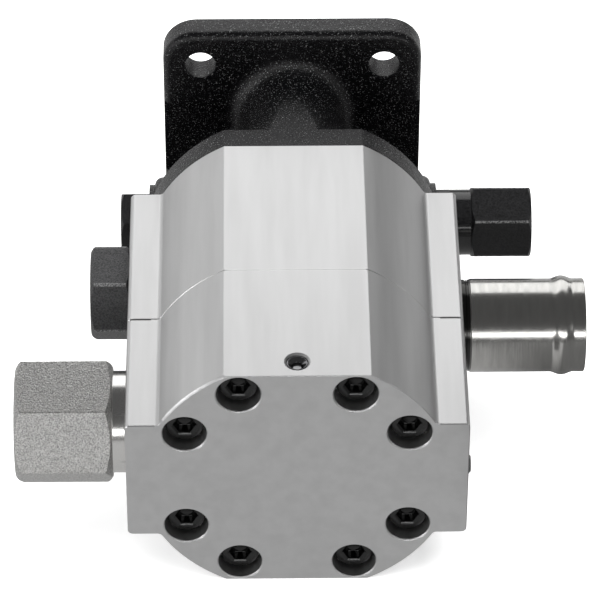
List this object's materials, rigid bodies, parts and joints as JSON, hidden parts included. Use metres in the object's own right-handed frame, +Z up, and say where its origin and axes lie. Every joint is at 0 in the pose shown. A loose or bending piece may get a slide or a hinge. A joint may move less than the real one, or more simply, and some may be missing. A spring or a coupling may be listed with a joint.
{
  "type": "two-stage hydraulic gear pump",
  "caption": "Two-stage hydraulic gear pump with a square mounting flange, keyed drive shaft, beaded inlet tube, threaded outlet and an unloading valve.",
  "frame": {"origin": "centre of the mounting flange's face, on the drive shaft's axis", "axes": "+Y out along the drive shaft, +Z up from the flat bottom, +X towards the inlet tube"},
  "size_m": [0.1527, 0.172, 0.0857],
  "materials": {
    "cast_iron_black": "sand-cast, painted black",
    "extruded_aluminium": "milled and lightly blasted",
    "black_oxide_steel": "black oxide",
    "zinc_plated_steel": "forged and zinc plated",
    "plated_steel_tube": "nickel plated, satin",
    "hardened_steel": "ground",
    "spring_steel": "drawn wire",
    "bearing_aluminium": "machined",
    "bronze": "machined",
    "nitrile_rubber": "moulded"
  },
  "bodies": {
    "casing": {"front_cover": "cast_iron_black", "front_housing": "extruded_aluminium", "rear_housing": "extruded_aluminium", "housing_screws": "black_oxide_steel", "check_valve_cap": "black_oxide_steel", "unloader_cap": "black_oxide_steel", "unloader_plug": "black_oxide_steel", "top_gallery_plug": "black_oxide_steel", "side_gallery_plug": "black_oxide_steel", "seal_retaining_ring": "black_oxide_steel", "outlet_adapter": "zinc_plated_steel", "inlet_tube": "plated_steel_tube", "inlet_tube_ring": "plated_steel_tube", "dowel_pins": "hardened_steel", "check_valve_spring": "spring_steel", "unloader_spring": "spring_steel", "large_front_bearing_block": "bearing_aluminium", "large_rear_bearing_block": "bearing_aluminium", "small_front_bearing_block": "bearing_aluminium", "small_rear_bearing_block": "bearing_aluminium", "bearing_bushes": "bronze", "cover_seal": "nitrile_rubber", "middle_seal": "nitrile_rubber", "shaft_seal": "nitrile_rubber", "outlet_adapter_seal": "nitrile_rubber", "check_valve_seal": "nitrile_rubber"},
    "drive_train": {"drive_shaft": "hardened_steel", "large_drive_gear": "hardened_steel", "small_drive_gear": "hardened_steel", "drive_gear_keys": "hardened_steel"},
    "large_driven": {"large_driven_gear": "hardened_steel"},
    "small_driven": {"small_driven_gear": "hardened_steel"},
    "check_poppet": {"check_valve_poppet": "hardened_steel"},
    "unloader": {"unloader_spool": "hardened_steel"}
  },
  "joints": [
    {"name": "drive_spin", "type": "hinge", "parent": "casing", "child": "drive_train", "pos_m": [0, 0, 0], "axis": [0, 1, 0], "continuous": true},
    {"name": "large_driven_spin", "type": "hinge", "parent": "casing", "child": "large_driven", "pos_m": [0, -0.0665, -0.027], "axis": [0, 1, 0], "continuous": true},
    {"name": "small_driven_spin", "type": "hinge", "parent": "casing", "child": "small_driven", "pos_m": [0, -0.1094, -0.027], "axis": [0, 1, 0], "continuous": true},
    {"name": "check_valve_lift", "type": "slide", "parent": "casing", "child": "check_poppet", "axis": [-1, 0, 0], "range_m": [0, 0.004], "stiffness_N_per_m": 400, "springref_m": -0.004, "deforming": ["check_valve_spring"]},
    {"name": "unloader_shift", "type": "slide", "parent": "casing", "child": "unloader", "axis": [1, 0, 0], "range_m": [0, 0.006], "stiffness_N_per_m": 2000, "springref_m": -0.004, "deforming": ["unloader_spring"]}
  ],
  "couplings": [
    {"joint": "large_driven_spin", "follows": "drive_spin", "ratio": -1},
    {"joint": "small_driven_spin", "follows": "drive_spin", "ratio": -1}
  ]
}
